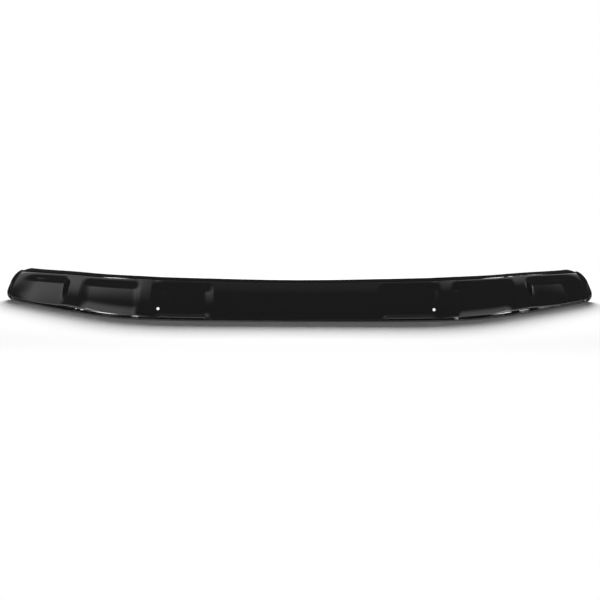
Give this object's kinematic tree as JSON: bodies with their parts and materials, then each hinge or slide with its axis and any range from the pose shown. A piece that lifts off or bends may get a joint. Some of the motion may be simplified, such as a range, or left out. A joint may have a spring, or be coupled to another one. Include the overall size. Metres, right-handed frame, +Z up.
{
  "type": "hood protector",
  "caption": "Long bowed deflector moulded from one thin gloss sheet, with shallow scalloped recesses between ribs, a rolled top rim and a flared lower lip.",
  "frame": {"origin": "middle of the bounding box at the height of the lower lip, which the part stands on", "axes": "+X along the length to the right as seen from the front, -Y towards the front, +Z up"},
  "size_m": [1.3958, 0.1748, 0.0875],
  "materials": {
    "acrylic_sheet": "polished, near-black moulded acrylic sheet"
  },
  "bodies": {
    "root": {"hood_protector": "acrylic_sheet"}
  },
  "joints": []
}
